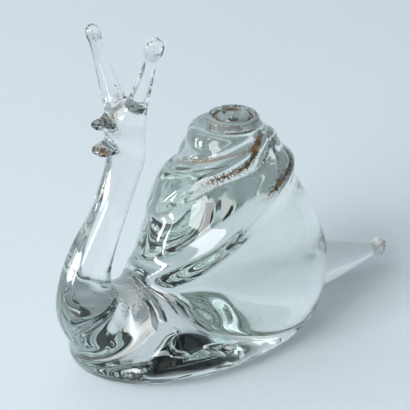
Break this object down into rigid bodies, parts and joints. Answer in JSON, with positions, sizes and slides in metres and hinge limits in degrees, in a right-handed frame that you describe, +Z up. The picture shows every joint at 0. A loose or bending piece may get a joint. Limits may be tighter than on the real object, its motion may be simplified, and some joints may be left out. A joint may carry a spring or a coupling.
{
  "type": "snail figurine",
  "caption": "Solid clear glass snail with twisted whorls under a wound coil, a raised swan-like neck with pinched lips, knobbed eye stalks and a drawn tail, for display on a shelf.",
  "frame": {"origin": "point of the flat underside straight below the shell's upright axis", "axes": "+Z up; -X is the way the snail faces, so +X runs back along the tail; +Y is its right side"},
  "size_m": [0.1059, 0.0489, 0.09],
  "materials": {
    "clear_glass": "fire-polished solid soda-lime glass, clear with a faint grey-green tint",
    "crackled_glass": "white and crackled where the tail was sheared off"
  },
  "bodies": {
    "root": {"foot": "clear_glass", "body_whorl": "clear_glass", "second_whorl": "clear_glass", "third_whorl": "clear_glass", "upper_whorl": "clear_glass", "collar": "clear_glass", "apex_coil": "clear_glass", "neck": "clear_glass", "head": "clear_glass", "upper_lip": "clear_glass", "lower_lip": "clear_glass", "left_tentacle": "clear_glass", "right_tentacle": "clear_glass", "left_eye_knob": "clear_glass", "right_eye_knob": "clear_glass", "tail": "clear_glass", "tail_knob": "crackled_glass"}
  },
  "joints": []
}
